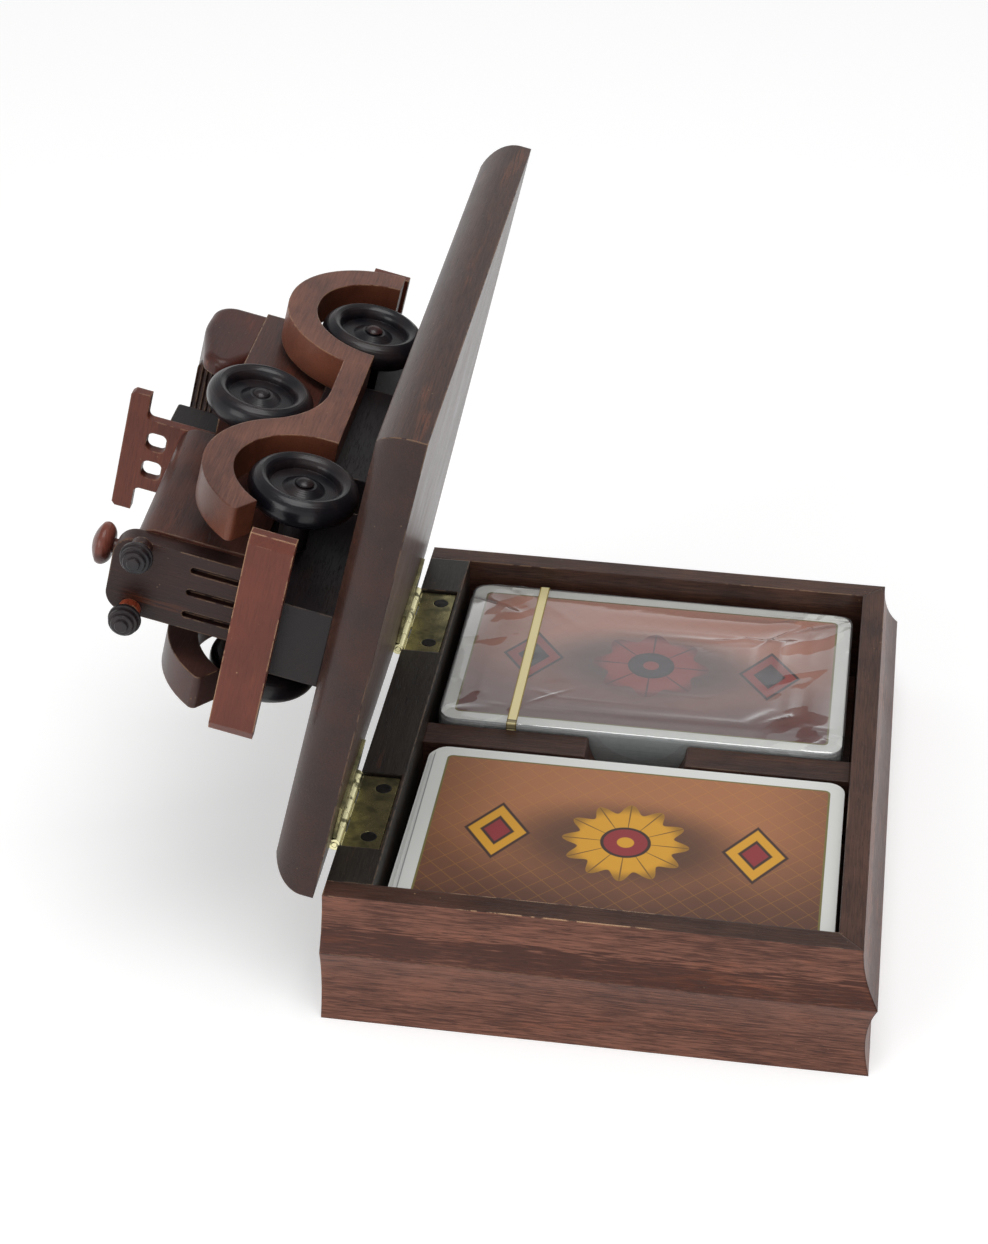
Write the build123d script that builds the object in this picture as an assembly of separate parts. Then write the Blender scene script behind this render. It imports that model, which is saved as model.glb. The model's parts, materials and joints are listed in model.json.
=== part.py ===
from build123d import *
import os
from math import asin, atan2, cos, radians, sin

# Wooden case for two decks of cards, with a model car standing on its hinged lid.
# Millimetres, +Z up, origin at the centre of the case's underside. X runs from the hinge
# side to the opening side, and -Y is the front. The lid is modelled standing open.

# --- decks of cards ---
card_length = 88.9
card_width = 57.15
card_corner = 3.5
card_thickness = 0.328
cards_in_deck = 54
packets = 6  # a used deck lies in a few packets, each a little out of line
packet_shift = 0.55
open_deck_left = 3.6  # gap from the hinge rail to the top card
open_deck_front = 0.7  # gap from the front rail to the top card
wrapped_deck_left = 2.2
wrapped_deck_front = 0.8  # gap from the divider
film_thickness = 0.25
film_slack = 0.2  # air between the film and the cards' ends and edges
tear_strip_width = 2.2
tear_strip_from_left = 16.3
tear_strip_thickness = 0.15

# --- case ---
well_spare_length = 4.4  # a well's length beyond a card's
well_spare_width = 3.25
case_height = 28.7
hinge_rail_width = 9.4
rail_width = 5.0  # the other three rails, at the top edge
base_thickness = 6.0
base_lip = 2.5  # how far the base reaches under each rail
ridge_height = 17.0  # ridge between the two coves, above the underside
ridge_out = 3.8  # how far each line stands out from the top edge
waist_out = 2.1
waist_height = 7.65  # deepest part of the lower cove, above the underside
foot_out = 3.4
divider_thickness = 7.4
divider_below_rim = 6.0
notch_radius = 10.8
notch_lip_round = 0.8

# --- hinges ---
open_angle = 77.6  # the lid's rise from closed
axis_out = 0.9  # pin centre, outside the case
axis_below_rim = 0.55
hinge_length = 25.4
hinge_from_front = 30.3  # hinge centre from the case's front top edge
hinge_from_back = 32.7
leaf_reach = 9.3  # from the pin centre to the leaf's long edge
leaf_thickness = 0.8
leaf_gap = 0.1  # between the closed leaves
barrel_radius = 1.35
pin_radius = 0.6
pin_clearance = 0.05
knuckles = 5
knuckle_gap = 0.15
mortise_clearance = 0.3
mortise_end_clearance = 0.6
screw_spacing = 17.2
screw_from_axis = 6.4
screw_head_radius = 1.7
screw_shank_radius = 0.7
screw_length = 6.5
glue_gap = 0.04  # round a screw or dowel in its hole

# --- lid ---
lid_short_of_case = 0.6  # front to back, in all
lid_thickness = 9.6
lid_edge_flat = 2.0  # plain part of the edge below the thumbnail
thumbnail_inset = 5.0
thumbnail_bulge = (1.5, 4.94)  # a point of the arc, in from the edge and up from its plain part
lid_overhang = 0.85  # past the pin centre, at the hinge side

# --- car: x from its middle plane, stations back from its nose, z above the lid's face ---
car_forward = 5.4  # nose of the car forward of a centred place
car_off_centre = 0.45  # towards the car's left
bumper_thickness = 3.0
bumper_length = 46.1
bumper_height = 8.9
bumper_bottom = 9.7
rear_bumper_length = 44.7
rear_bumper_height = 8.0
rear_bumper_bottom = 8.6
bumper_end_bevel = 2.0  # along the bar, on the face that looks away from the car
bumper_end_bevel_depth = 1.0
chassis_past_fenders = 1.4  # from the fenders' tails back to its end
chassis_width = 32.5  # between the arches, where the fenders are glued on
chassis_end_width = 16.6
chassis_wide_from = 41.0  # stations of the wide part
chassis_wide_to = 78.0
chassis_over_axle = 4.6  # the chassis's top above the front axle
radiator_station = 10.2
radiator_thickness = 4.0
radiator_width = 17.0
radiator_top = 44.7
radiator_corner = 4.2
slot_pitch = 5.1
slot_width = 1.5
slot_depth = 1.6
slot_foot = 1.5  # from the chassis to the foot of a slot
slot_length = 10.4
hood_length = 40.6
hood_width = 18.4
hood_front_top = 41.6
hood_back_top = 42.6
hood_corner = 4.0
cap_behind_radiator = 4.8
cap_radius = 4.3
cap_height = 4.2
cap_under_bulge = (0.35, 3.2)  # by height and radius, a point of the curve under the cap
cap_shoulders = (1.2, 2.8)  # heights at which the rim's roll begins and ends
cap_shoulder_radius = 4.05
cap_rise = 4.5  # the stem that shows between the hood and the cap
cap_stem_radius = 1.5
cap_stem_depth = 4.0  # sunk in the hood
lamp_spacing = 14.6
lamp_height = 39.4
lamp_radius = 3.25
lamp_length = 5.2
lamp_neck_length = 0.65
lamp_neck_radius = 1.55
lamp_bell = (1.1, 2.75)  # a point of the bell's curve, by length and radius
lamp_bell_length = 1.9
lamp_bell_end = 2.6
lamp_rim_length = 3.8
lamp_rim_radius = 2.9
lamp_ring_length = 4.6
lamp_ring_radius = 2.25
lamp_button_radius = 1.3
lamp_ease = 0.17  # bevel on each step of the face
collar_radius = 2.2
collar_length = 1.9
lamp_peg_radius = 0.8
lamp_peg_depth = 3.2
body_width = 28.5
body_length = 46.7
body_top = 35.6
cockpit_width = 22.4
cockpit_floor = 25.0
cockpit_corner = 2.0
screen_thickness = 2.2
screen_bar_length = 27.6
screen_bar_height = 4.1
screen_bar_cut = 0.7  # off the bar's two outer corners
screen_top = 54.1
screen_width = 16.5
screen_neck_round = 1.2
window_width = 4.2
window_height = 4.2
window_bar = 2.5  # the post between the windows
window_sill = 45.1
window_corner = 1.4
dash_length = 7.8
dash_gap = 1.0  # from the dash to the cockpit
dash_width = 16.0
dash_top = 45.6
dash_round = 0.6
seat_back_thickness = 2.5
seat_back_width = 20.8
seat_back_top = 45.3
seat_back_round = 1.0
seat_cushion_height = 6.0
seat_clearance = 0.15
pleat_pitch = 1.1
pleat_depth = 0.45
roll_length = 19.8  # behind the seat back
roll_height = 11.3
roll_arm = 6.8  # how far its arms reach forward past the back rest
roll_arm_middle = 3.5  # height of the arms' foremost point over the tub
roll_arm_foot = 1.2  # the arms' foot stands this far in front of the back rest
roll_shoulder = 4.4  # the arms' upper corner in front of the back rest
roll_shoulder_height = 8.4
roll_peak = 8.9  # from the back rest to the highest place
roll_back_drop = 0.5
roll_rounds = (3.2, 4.4, 20.0, 5.0)  # of its corners, from the arms' foremost point to the back
roll_edge_round = 1.8
wheel_radius = 11.0
wheel_thickness = 6.3
front_wheel_lift = 1.8  # a tyre's clearance over the lid
back_wheel_lift = 0.6
wheel_side_gap = 1.5  # from the fenders' inner faces out to a wheel
tyre_round = 2.3  # the drop from the tread to the tyre's sides
hub_radius = 2.4
hub_slope = 1.8
dish_radius = 6.8
dish_depth = 2.6
tyre_crest = (0.6, 7.5)  # a point of the curve into the dish, by depth and radius
hub_depth = 1.7
boss_radius = 4.0  # boss on a wheel's inner side
boss_height = 1.0
peg_radius = 1.3
peg_clearance = 0.06
peg_head_radius = 1.9
peg_head_height = 0.9
peg_play = 0.25  # between a peg's head and the wheel's hub
peg_depth = 6.0
spacer_radius = 3.0
spacer_play = 0.3  # between a spacer and its wheel's boss
front_axle_station = 23.9
wheelbase = 67.8
fender_thickness = 7.5
running_board_bottom = 9.4
running_board_top = 14.9
fender_dip_round = 21.0
front_arch_station = 24.4
front_arch_drop = 1.5  # its centre, below the axle
front_arch_gap = 4.7  # from a tyre to the arch
front_arch_band = 6.1
front_tip_angle = 147.5  # the cut at the front fender's tip, round the arch's centre
front_tip_round = 1.2
back_arch_station = 94.2
back_arch_stretch = 1.2  # how far the tail is drawn out behind the arch
back_arch_drop = 2.5
back_arch_gap = 4.5
back_arch_band = 6.3
spare_station = 57.5
lid_dowel_radius = 3.0
lid_dowel_spacing = 70.0
lid_dowel_in_lid = 6.0
lid_dowel_in_chassis = 8.0

# --- places worked out from the sizes ---
case_length = hinge_rail_width + card_length + well_spare_length + rail_width
case_depth = 2 * (rail_width + card_width + well_spare_width) + divider_thickness
lid_length = case_length
lid_depth = case_depth - lid_short_of_case
left = -case_length / 2
right = case_length / 2
front = -case_depth / 2
back = case_depth / 2
well_left = left + hinge_rail_width
well_right = right - rail_width
well_front = front + rail_width
well_back = back - rail_width
divider_height = case_height - divider_below_rim - base_thickness
axis_x = left - axis_out
axis_z = case_height - axis_below_rim
leaf_offset = leaf_gap / 2 + leaf_thickness  # pin centre to the wood under a leaf
hinge_places = {"front": front + hinge_from_front, "back": back - hinge_from_back}
front_axle_height = wheel_radius + front_wheel_lift
back_axle_height = wheel_radius + back_wheel_lift
chassis_height = front_axle_height + chassis_over_axle
front_arch_height = front_axle_height - front_arch_drop
front_arch_inner = wheel_radius + front_arch_gap
front_arch_outer = front_arch_inner + front_arch_band
back_arch_height = back_axle_height - back_arch_drop
back_arch_inner = wheel_radius + back_arch_gap
back_arch_outer = back_arch_inner + back_arch_band
fender_end = back_arch_station + back_arch_stretch + back_arch_outer
chassis_length = fender_end + chassis_past_fenders - bumper_thickness
car_length = chassis_length + 2 * bumper_thickness
spare_height = chassis_height + wheel_radius  # it stands on the chassis
spacer_length = wheel_side_gap + (chassis_width - chassis_end_width) / 2 - boss_height - spacer_play

# The lid's own frame: x from the pin centre along the lid, z out from its inner face.
lid_frame = Plane(
    origin=(
        axis_x - leaf_offset * sin(radians(open_angle)),
        0,
        axis_z + leaf_offset * cos(radians(open_angle)),
    ),
    x_dir=(cos(radians(open_angle)), 0, sin(radians(open_angle))),
    z_dir=(-sin(radians(open_angle)), 0, cos(radians(open_angle))),
).location
lid_middle = lid_length / 2 - lid_overhang
car_frame = lid_frame * Pos(lid_middle + car_off_centre, -car_forward, lid_thickness)


def block(x, y, z):
    """Box between two limits on each axis."""
    low = [min(pair) for pair in (x, y, z)]
    high = [max(pair) for pair in (x, y, z)]
    size = [h - l for l, h in zip(low, high)]
    return Pos(*low) * Box(*size, align=(Align.MIN, Align.MIN, Align.MIN))


def rod(radius, start, end):
    """Round bar between two points on a line along one axis."""
    start, end = Vector(*start), Vector(*end)
    along = end - start
    return Plane(start, z_dir=along).location * Cylinder(
        radius, along.length, align=(Align.CENTER, Align.CENTER, Align.MIN)
    )


def dome(rim, radius, height):
    """Arc from a rim to the turning axis, which is x, and square to it."""
    ball = (radius**2 + height**2) / (2 * height)
    half = asin(radius / ball) / 2
    middle = (rim + height - ball * (1 - cos(half)), ball * sin(half))
    return ThreePointArc((rim, radius), middle, (rim + height, 0))


def station(distance):
    """y in the car's frame of a place so far behind the nose."""
    return distance - car_length / 2


# --- case ---


def moulded_profile(width):
    """Rail section: x out from the top edge, y up. Two coves meet at a ridge."""
    rise = case_height - ridge_height
    upper_radius = (ridge_out**2 + rise**2) / (2 * ridge_out)
    half = atan2(ridge_out, rise)
    middle = (upper_radius * (1 - cos(half)), case_height - upper_radius * sin(half))
    waist = (waist_out, waist_height)
    outline = (
        ThreePointArc((0, case_height), middle, (ridge_out, ridge_height))
        + ThreePointArc((ridge_out, ridge_height), waist, (foot_out, 0))
        + Polyline((foot_out, 0), (-width, 0), (-width, case_height), (0, case_height))
    )
    return make_face(outline)


def rebate():
    """Space that the base panel fills, up into the rails."""
    return block(
        (well_left - base_lip, well_right + base_lip),
        (well_front - base_lip, well_back + base_lip),
        (0, base_thickness),
    )


def moulded_rail(length, width):
    """Moulded bar along local x, with its outside towards -y and its top edge at y 0."""
    section = Plane.XZ.rotated((0, 0, -90)).location * moulded_profile(width)
    return Pos(-length / 2, 0, 0) * extrude(section, length, dir=(1, 0, 0))


def mitre(x, y, towards_x, towards_y):
    """Wedge that is kept on one side of the mitre through the corner at x, y."""
    far = case_length + case_depth
    inner = (x - towards_x * far, y - towards_y * far)
    outer = (x + towards_x * far, y + towards_y * far)
    third = (inner[0], outer[1])
    face = make_face(Polyline(inner, outer, third, close=True))
    return extrude(face, case_height)


def long_rail(side):
    """Front (-1) or back (1) rail: plain end at the hinge side, mitre at the other."""
    reach = case_length + 2 * ridge_out
    rail = moulded_rail(reach, rail_width)
    rail = Pos((reach - case_length) / 2, front, 0) * rail
    rail &= mitre(right, front, 1, -1)
    if side > 0:
        rail = mirror(rail, Plane.XZ)
    return rail - rebate()


def opening_rail():
    """Rail opposite the hinges, mitred at both ends."""
    rail = moulded_rail(case_depth + 2 * ridge_out, rail_width)
    rail = Pos(right, 0, 0) * Rot(0, 0, 90) * rail
    keep = block((0, case_length), (front * 2, back * 2), (0, case_height))
    keep -= mitre(right, front, 1, -1)
    keep -= mirror(mitre(right, front, 1, -1), Plane.XZ)
    return (rail & keep) - rebate()


def hinge_mortise(y):
    """Pocket for both closed leaves of a hinge, open to the outside, and its barrel's room."""
    half = hinge_length / 2 + mortise_end_clearance
    floor = axis_z - leaf_offset
    reach = axis_x + leaf_reach + mortise_clearance
    pocket = block((axis_x, reach), (y - half, y + half), (floor, case_height))
    barrel = rod(barrel_radius + mortise_clearance, (axis_x, y - half, axis_z), (axis_x, y + half, axis_z))
    return pocket + barrel


def leaf_holes(y):
    """Pilot holes for one leaf's screws, in the case's frame."""
    top = axis_z - leaf_gap / 2
    hole = rod(screw_shank_radius + glue_gap, (0, 0, 0), (0, 0, -screw_length - glue_gap))
    places = [y - screw_spacing / 2, y + screw_spacing / 2]
    return [Pos(axis_x + screw_from_axis, place, top) * hole for place in places]


def hinge_rail():
    """Plain wide rail between the front and back rails."""
    rail = block((left, well_left), (well_front, well_back), (0, case_height)) - rebate()
    for y in hinge_places.values():
        rail -= hinge_mortise(y)
        for hole in leaf_holes(y):
            rail -= hole
    return rail


def well_divider():
    """Low wall between the wells with a half-round finger notch in its top."""
    middle = (well_left + well_right) / 2
    y = (well_front + well_back) / 2
    wall = block(
        (well_left, well_right),
        (y - divider_thickness / 2, y + divider_thickness / 2),
        (base_thickness, base_thickness + divider_height),
    )
    top = base_thickness + divider_height
    notch = rod(notch_radius, (middle, y - divider_thickness, top), (middle, y + divider_thickness, top))
    wall -= notch
    lips = wall.edges().filter_by(GeomType.LINE).filter_by(Axis.Y).group_by(Axis.Z)[-1]
    inner = [edge for edge in lips if abs(edge.center().X - middle) < notch_radius + 1]
    return fillet(inner, notch_lip_round)


# --- decks ---


def card_stack(thickness):
    """Stack of rounded cards standing on z 0, from its corner."""
    card = Pos(card_length / 2, card_width / 2) * RectangleRounded(card_length, card_width, card_corner)
    return extrude(card, thickness)


def open_deck():
    """Used deck. Its packets drift towards the hinge side on the way down."""
    x = well_left + open_deck_left
    y = well_front + open_deck_front
    thickness = card_thickness * cards_in_deck / packets
    stack = []
    for number in range(packets):
        shift = packet_shift * (packets - 1 - number) / 2
        place = Pos(x - shift, y + shift / 4, base_thickness + number * thickness)
        stack.append(place * card_stack(thickness))
    return Compound(children=stack)


def wrapped_deck_corner():
    """Corner of the sealed cards, inside their film."""
    y = (well_front + well_back) / 2 + divider_thickness / 2
    return Pos(well_left + wrapped_deck_left, y + wrapped_deck_front, base_thickness + film_thickness)


def wrapped_deck():
    """Sealed deck."""
    return wrapped_deck_corner() * card_stack(card_thickness * cards_in_deck)


def film_outline(grow):
    """Outline of the film round the cards, grown by so much."""
    size = (card_length + 2 * (film_slack + grow), card_width + 2 * (film_slack + grow))
    return Pos(card_length / 2, card_width / 2) * RectangleRounded(*size, card_corner + film_slack + grow)


def cellophane_wrap():
    """Clear film, tight on the deck's faces and slack round its edges."""
    height = card_thickness * cards_in_deck
    outer = Pos(0, 0, -film_thickness) * extrude(film_outline(film_thickness), height + 2 * film_thickness)
    inner = extrude(film_outline(0), height)
    return wrapped_deck_corner() * (outer - inner)


def tear_strip():
    """Tear tape round the film, across the short way and open underneath."""
    gap = film_slack + film_thickness
    height = card_thickness * cards_in_deck + film_thickness
    x = (tear_strip_from_left - tear_strip_width / 2, tear_strip_from_left + tear_strip_width / 2)
    tape = tear_strip_thickness
    outer = block(x, (-gap - tape, card_width + gap + tape), (0, height + tape))
    inner = block(x, (-gap, card_width + gap), (0, height))
    return wrapped_deck_corner() * (outer - inner)


# --- hinges ---


def knuckle_spans(own):
    """Stretches of the barrel that one leaf owns. The case leaf owns the even ones."""
    length = hinge_length / knuckles
    for number in range(knuckles):
        if (number % 2 == 0) == own:
            start = -hinge_length / 2 + number * length
            yield start + knuckle_gap / 2, start + length - knuckle_gap / 2


def countersunk(grow):
    """Screw pointing down with its flat head's face at z 0."""
    head = screw_head_radius + grow
    shank = screw_shank_radius + grow
    depth = leaf_thickness
    length = screw_length + grow
    outline = Polyline(
        (0, 0), (head, 0), (shank, -depth), (shank, -length + shank), (0, -length), close=True
    )
    return revolve(Plane.XZ * make_face(outline), Axis.Z)


def leaf(own):
    """Leaf along +x from the pin centre at z 0, lying just under it, face up."""
    top = -leaf_gap / 2
    plate = block(
        (barrel_radius + mortise_clearance, leaf_reach),
        (-hinge_length / 2, hinge_length / 2),
        (top - leaf_thickness, top),
    )
    for start, end in knuckle_spans(own):
        plate += block((0, leaf_reach / 2), (start, end), (top - leaf_thickness, top))
        plate += rod(barrel_radius, (0, start, 0), (0, end, 0))
    reach = hinge_length / 2 + 1
    plate -= rod(pin_radius + pin_clearance, (0, -reach, 0), (0, reach, 0))
    for side in (-1, 1):
        place = Pos(screw_from_axis, side * screw_spacing / 2, top)
        plate -= place * countersunk(glue_gap)
    return plate


def case_leaf(y):
    return Pos(axis_x, y, axis_z) * leaf(True)


def lid_leaf(y):
    """The lid's leaf is turned over, so that its back meets the lid's inner face."""
    return lid_frame * Pos(0, y, -leaf_offset) * mirror(leaf(False), Plane.XY)


def hinge_pin(y):
    """Plain pin, flush with the ends of the barrel."""
    half = hinge_length / 2
    return Pos(axis_x, y, axis_z) * rod(pin_radius, (0, -half, 0), (0, half, 0))


def leaf_screws(frame, turned):
    """The four screws of one set of leaves."""
    screw = countersunk(0)
    if turned:
        screw = mirror(screw, Plane.XY)
    top = leaf_gap / 2 if turned else -leaf_gap / 2
    screws = []
    for y in hinge_places.values():
        for side in (-1, 1):
            place = Pos(screw_from_axis, y + side * screw_spacing / 2, top)
            screws.append(frame * place * screw)
    return Compound(children=screws)


# --- lid ---


def thumbnail_profile(length):
    """Section of the lid across its middle: plain edges, then one arc to the outer face."""
    half = length / 2
    top = (half - thumbnail_inset, lid_thickness)
    bulge = (half - thumbnail_bulge[0], lid_edge_flat + thumbnail_bulge[1])
    side = Line((half, 0), (half, lid_edge_flat)) + ThreePointArc((half, lid_edge_flat), bulge, top)
    outline = side + Line(top, (-top[0], top[1])) + mirror(side, Plane.YZ) + Line((-half, 0), (half, 0))
    return make_face(outline)


def lid_dowels(grow):
    """Dowels that hold the car's chassis to the lid, in the car's frame."""
    middle = station(bumper_thickness + chassis_length / 2)
    dowels = []
    for side in (-1, 1):
        y = middle + side * lid_dowel_spacing / 2
        ends = (-lid_dowel_in_lid - grow, lid_dowel_in_chassis + grow)
        dowels.append(rod(lid_dowel_radius + grow, (0, y, ends[0]), (0, y, ends[1])))
    return dowels


def lid_panel():
    """Board with the thumbnail worked round all four edges."""
    along = Plane.XZ * thumbnail_profile(lid_length)
    across = Plane.YZ * thumbnail_profile(lid_depth)
    board = extrude(along, lid_depth / 2, both=True) & extrude(across, lid_length / 2, both=True)
    board = lid_frame * Pos(lid_middle, 0, 0) * board
    for y in hinge_places.values():
        for side in (-1, 1):
            place = Pos(screw_from_axis, y + side * screw_spacing / 2, 0)
            tip = screw_length + glue_gap - leaf_thickness
            board -= lid_frame * place * rod(screw_shank_radius + glue_gap, (0, 0, -1), (0, 0, tip))
        half = hinge_length / 2 + mortise_end_clearance
        ends = [(0, y - half, -leaf_offset), (0, y + half, -leaf_offset)]
        board -= lid_frame * rod(barrel_radius + mortise_clearance, *ends)
    for dowel in lid_dowels(glue_gap):
        board -= car_frame * dowel
    return board


# --- car ---


def across(sketch, y, thickness):
    """Board whose outline is drawn in x and z, from y towards the back."""
    return Pos(0, y, 0) * extrude(Plane.XZ * sketch, -thickness)


def top_rounded(width, bottom, top, radius):
    """Upright outline with its two top corners rounded."""
    shape = Pos(0, (bottom + top) / 2) * Rectangle(width, top - bottom)
    return fillet(shape.vertices().group_by(Axis.Y)[-1], radius)


def chassis():
    """Black block that carries everything and lifts the car off the lid."""
    start = station(bumper_thickness)
    half = chassis_end_width / 2
    shape = block((-half, half), (start, start + chassis_length), (0, chassis_height))
    wide = (station(chassis_wide_from), station(chassis_wide_to))
    shape += block((-chassis_width / 2, chassis_width / 2), wide, (0, chassis_height))
    for y, z in axles():
        for side in (-1, 1):
            inner = half - peg_depth - glue_gap
            shape -= rod(peg_radius + glue_gap, (side * inner, y, z), (side * (half + 1), y, z))
    for dowel in lid_dowels(glue_gap):
        shape -= dowel
    return shape


def bumper(length, height):
    """Flat bar on z 0, with its inner face at y 0 and the ends of its outer face, at -y, bevelled."""
    half = length / 2
    bevel = (half - bumper_end_bevel, bumper_end_bevel_depth - bumper_thickness)
    side = [(half, 0), (half, bevel[1]), (bevel[0], -bumper_thickness)]
    plan = make_face(Polyline(*side, *[(-x, y) for x, y in reversed(side)], close=True))
    return extrude(plan, height)


def lamp_places():
    """Centres of the two lamps on the radiator's front."""
    y = station(radiator_station)
    return {"left": Pos(lamp_spacing / 2, y, lamp_height), "right": Pos(-lamp_spacing / 2, y, lamp_height)}


def radiator():
    """Front block with rounded shoulders and three upright slots."""
    y = station(radiator_station)
    outline = top_rounded(radiator_width, chassis_height, radiator_top, radiator_corner)
    shape = across(outline, y, radiator_thickness)
    middle = chassis_height + slot_foot + slot_length / 2
    slot = Pos(0, middle) * SlotOverall(slot_length, slot_width, rotation=90)
    for number in (-1, 0, 1):
        shape -= Pos(number * slot_pitch, 0, 0) * across(slot, y - 1, slot_depth + 1)
    for place in lamp_places().values():
        shape -= place * rod(lamp_peg_radius + glue_gap, (0, -1, 0), (0, lamp_peg_depth + glue_gap, 0))
    return shape


def engine_hood():
    """Block that rises a little towards the windscreen, with rounded shoulders."""
    y = station(radiator_station + radiator_thickness)
    nose = Plane.XZ.offset(-y) * top_rounded(hood_width, chassis_height, hood_front_top, hood_corner)
    tail = Plane.XZ.offset(-y - hood_length) * top_rounded(
        hood_width, chassis_height, hood_back_top, hood_corner
    )
    shape = loft([nose.face(), tail.face()])
    return shape - cap_stem(glue_gap)


def cap_stem(grow):
    """Foot of the cap's stem, sunk in the hood."""
    y = station(radiator_station + radiator_thickness + cap_behind_radiator)
    sunk = hood_front_top - cap_stem_depth
    return rod(cap_stem_radius + grow, (0, y, sunk - grow), (0, y, hood_front_top + cap_rise))


def radiator_cap():
    """Turned mushroom cap on its stem."""
    y = station(radiator_station + radiator_thickness + cap_behind_radiator)
    low, high = cap_shoulders
    foot, shoulder = (0, cap_stem_radius), (low, cap_shoulder_radius)
    outline = (
        Polyline((0, 0), foot)
        + ThreePointArc(foot, cap_under_bulge, shoulder)
        + ThreePointArc(shoulder, ((low + high) / 2, cap_radius), (high, cap_shoulder_radius))
        + dome(high, cap_shoulder_radius, cap_height - high)
        + Polyline((cap_height, 0), (0, 0))
    )
    button = Rot(0, -90, 0) * revolve(make_face(outline), Axis.X)
    return Pos(0, y, hood_front_top + cap_rise) * button + cap_stem(0)


def lamp_stem():
    """Red-brown dowel with a collar: peg in the radiator, spigot in the lamp. Front is -y."""
    stem = rod(lamp_peg_radius, (0, -collar_length - lamp_length / 2, 0), (0, lamp_peg_depth, 0))
    return stem + rod(collar_radius, (0, -collar_length, 0), (0, 0, 0))


def headlamp():
    """Turned lamp: narrow neck, bell, and a face in rounded steps. x along its axis, y its radius."""
    steps = [
        (lamp_bell_end, lamp_radius, lamp_rim_radius),
        (lamp_rim_length, lamp_rim_radius, lamp_ring_radius),
        (lamp_ring_length, lamp_ring_radius, lamp_button_radius),
        (lamp_length, lamp_button_radius, 0),
    ]
    face = [(lamp_bell_length, lamp_radius)]
    for x, radius, below in steps:
        face += [(x - lamp_ease, radius), (x, radius - lamp_ease), (x, below)]
    neck_end = (lamp_neck_length, lamp_neck_radius)
    outline = (
        Polyline((0, 0), (0, lamp_neck_radius), neck_end)
        + ThreePointArc(neck_end, lamp_bell, (lamp_bell_length, lamp_radius))
        + Polyline(*face, (0, 0))
    )
    shape = Rot(0, 0, -90) * revolve(make_face(outline), Axis.X)
    shape = Pos(0, -collar_length, 0) * shape
    socket_end = -collar_length - lamp_length / 2 - glue_gap
    return shape - rod(lamp_peg_radius + glue_gap, (0, socket_end, 0), (0, 1, 0))


def body_station():
    """Front of the tub and foot of the windscreen."""
    return radiator_station + radiator_thickness + hood_length


def cockpit_span():
    """y of the cockpit's front, and of its back under the seat's back rest."""
    start = station(body_station()) + screen_thickness + dash_length + dash_gap
    return start, roll_front() - seat_back_thickness


def roll_front():
    return station(body_station() + body_length) - roll_length


def car_body():
    """Tub behind the hood, with an open cockpit."""
    y = station(body_station())
    half = body_width / 2
    shape = block((-half, half), (y, y + body_length), (chassis_height, body_top))
    pocket = block((-cockpit_width / 2, cockpit_width / 2), cockpit_span(), (cockpit_floor, body_top))
    shape -= fillet(pocket.edges().filter_by(Axis.Z), cockpit_corner)
    place = spare_place()
    hole = rod(peg_radius + glue_gap, (-wheel_thickness - boss_height - peg_depth, 0, 0), (0, 0, 0))
    return shape - place * hole


def windscreen():
    """Fretted board: wide top bar on a narrow frame with two windows."""
    bar = Pos(0, screen_top - screen_bar_height / 2) * Rectangle(screen_bar_length, screen_bar_height)
    bar = chamfer(bar.vertices().group_by(Axis.Y)[-1], screen_bar_cut)
    height = screen_top - body_top
    frame = Pos(0, body_top + height / 2) * Rectangle(screen_width, height)
    outline = bar + frame
    under_bar = [v for v in outline.vertices() if abs(v.Y - screen_top + screen_bar_height) < 0.01]
    outline = fillet([v for v in under_bar if abs(v.X) < screen_width / 2 + 0.1], screen_neck_round)
    window = RectangleRounded(window_width, window_height, window_corner)
    for side in (-1, 1):
        x = side * (window_bar + window_width) / 2
        outline -= Pos(x, window_sill + window_height / 2) * window
    return across(outline, station(body_station()), screen_thickness)


def dashboard():
    """Dark block behind the windscreen."""
    y = station(body_station()) + screen_thickness
    half = dash_width / 2
    shape = block((-half, half), (y, y + dash_length), (body_top, dash_top))
    return fillet(shape.edges().filter_by(Axis.X).group_by(Axis.Z)[-1], dash_round)


def seat():
    """Seat back with pleats across it and a cushion that fills the cockpit."""
    start, y = cockpit_span()
    half = seat_back_width / 2
    back_rest = block((-half, half), (y, roll_front()), (body_top, seat_back_top))
    back_rest = fillet(back_rest.edges().filter_by(Axis.Y).group_by(Axis.Z)[-1], seat_back_round)
    count = int((seat_back_top - body_top) / pleat_pitch)
    for number in range(count):
        z = seat_back_top - (number + 0.5) * pleat_pitch
        back_rest -= rod(pleat_depth, (-half - 1, y, z), (half + 1, y, z))
    inner = cockpit_width / 2 - seat_clearance
    cushion = block(
        (-inner, inner),
        (start + seat_clearance, y - seat_clearance),
        (cockpit_floor, cockpit_floor + seat_cushion_height),
    )
    return Compound(children=[back_rest, fillet(cushion.edges().filter_by(Axis.Z), cockpit_corner)])


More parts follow.
